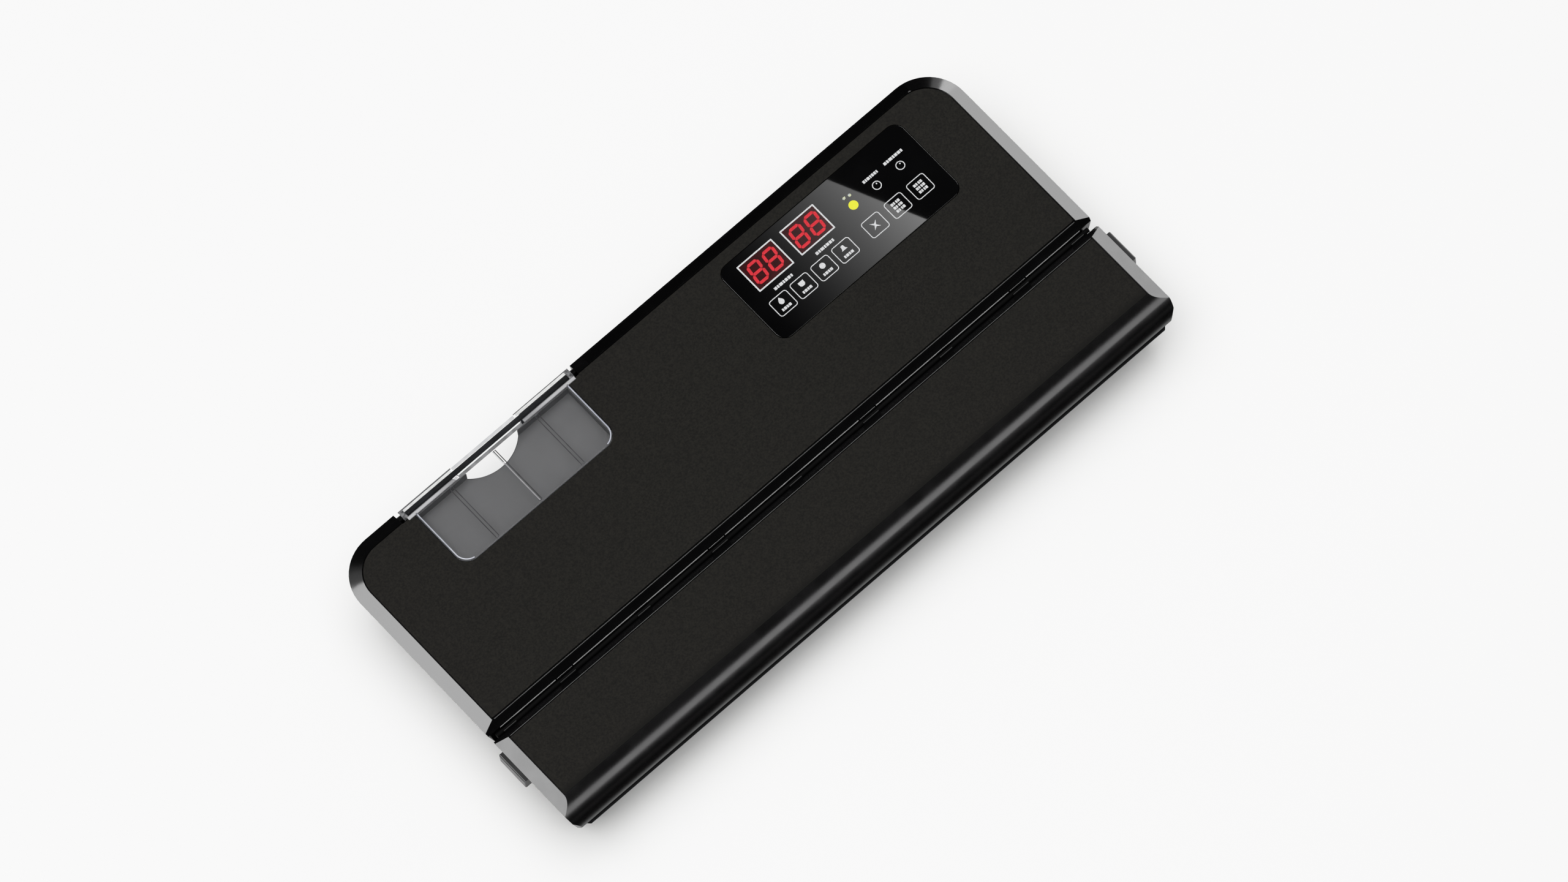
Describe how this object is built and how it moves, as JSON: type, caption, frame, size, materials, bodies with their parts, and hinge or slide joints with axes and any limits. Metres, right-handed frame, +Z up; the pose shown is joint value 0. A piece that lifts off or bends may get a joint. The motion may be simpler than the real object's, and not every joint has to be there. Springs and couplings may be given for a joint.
{
  "type": "vacuum sealer",
  "caption": "Countertop vacuum sealer: flat black case with a hinged front sealing lid, side release buttons, touch panel with two red displays and a clear-covered pocket.",
  "frame": {"origin": "on the table, under the middle of the machine's bounding box", "axes": "+X along the length towards the control panel's end, +Y to the rear, +Z up; the lid is at -Y"},
  "size_m": [0.4048, 0.1834, 0.0502],
  "materials": {
    "case_gloss_black": "polished, moulded ABS",
    "lid_gloss_black": "polished, slightly softer shine on the front roll",
    "trim_gloss_black": "polished",
    "plate_matte_black": "fine leather-free spark-eroded grain",
    "inner_matte_black": "plain moulded",
    "hinge_steel": "drawn bright rod",
    "silicone_strip": "soft silicone",
    "foam_gasket": "closed-cell foam",
    "button_satin_black": "satin",
    "spring_steel": "drawn wire",
    "clear_plastic": "clear polycarbonate, polished",
    "rod_black": "black oxide",
    "liner_grey": "satin grey",
    "panel_gloss_black": "hard-coated acrylic",
    "display_red": "diffusing display face",
    "led_yellow": "tinted lens",
    "pcb_green": "solder mask",
    "deck_black": "plain moulded",
    "nozzle_grey": "plain moulded nylon",
    "phenolic_bar": "phenolic laminate",
    "nichrome": "rolled strip",
    "ptfe_tape": "woven glass with PTFE",
    "sensor_black": "moulded package",
    "magnet_nickel": "nickel plated",
    "motor_steel": "zinc plated",
    "pump_plastic": "glass-filled nylon",
    "silicone_hose": "translucent silicone",
    "transformer_core": "varnished laminations",
    "capacitor_sleeve": "shrink sleeve",
    "ribbon_grey": "flat cable",
    "inlet_black": "moulded",
    "rubber_black": "moulded rubber",
    "screw_steel": "black zinc"
  },
  "bodies": {
    "base": {"rear_cover": "case_gloss_black", "base_tray": "case_gloss_black", "rear_trim_strip": "trim_gloss_black", "rear_top_panel": "plate_matte_black", "lid_hinge_rod": "hinge_steel", "lower_gasket": "foam_gasket", "cover_hinge_rod": "rod_black", "pocket_liner": "liner_grey", "touch_panel": "panel_gloss_black", "display_modules": "display_red", "status_led": "led_yellow", "control_board": "pcb_green", "sealing_deck": "deck_black", "vacuum_trough": "deck_black", "vacuum_nozzle": "nozzle_grey", "heater_bar": "phenolic_bar", "heating_element": "nichrome", "ptfe_tape": "ptfe_tape", "lid_sensor": "sensor_black", "pump_motor": "motor_steel", "pump_head": "pump_plastic", "pump_bracket": "motor_steel", "vacuum_hose": "silicone_hose", "solenoid_valve": "pump_plastic", "power_board": "pcb_green", "transformer": "transformer_core", "board_capacitors": "capacitor_sleeve", "panel_ribbon": "ribbon_grey", "power_inlet": "inlet_black", "hose_port": "inlet_black", "rubber_feet": "rubber_black", "case_screws": "screw_steel"},
    "lid": {"lid_shell": "lid_gloss_black", "lid_top_panel": "plate_matte_black", "lid_inner_frame": "inner_matte_black", "pressure_strip": "silicone_strip", "upper_gasket": "foam_gasket", "lid_magnet": "magnet_nickel", "button_guide_left": "inner_matte_black", "button_guide_right": "inner_matte_black", "button_spring_left": "spring_steel", "button_spring_right": "spring_steel"},
    "left_button": {"release_button_left": "button_satin_black"},
    "right_button": {"release_button_right": "button_satin_black"},
    "pocket_cover": {"clear_cover": "clear_plastic"},
    "pump_rotor": {"pump_shaft": "spring_steel"}
  },
  "joints": [
    {"name": "lid_hinge", "type": "hinge", "parent": "base", "child": "lid", "pos_m": [0, -0.0291, 0.0438], "axis": [-1, 0, 0], "range_deg": [0, 75]},
    {"name": "left_button_press", "type": "slide", "parent": "lid", "child": "left_button", "axis": [1, 0, 0], "range_m": [0, 0.0024], "stiffness_N_per_m": 400, "deforming": ["button_spring_left"]},
    {"name": "right_button_press", "type": "slide", "parent": "lid", "child": "right_button", "axis": [-1, 0, 0], "range_m": [0, 0.0024], "stiffness_N_per_m": 400, "deforming": ["button_spring_right"]},
    {"name": "pocket_cover_hinge", "type": "hinge", "parent": "base", "child": "pocket_cover", "pos_m": [-0.0997, 0.0878, 0.0474], "axis": [-1, 0, 0], "range_deg": [0, 105]},
    {"name": "pump_rotor_spin", "type": "hinge", "parent": "base", "child": "pump_rotor", "pos_m": [0, 0.022, 0.022], "axis": [1, 0, 0], "continuous": true}
  ]
}
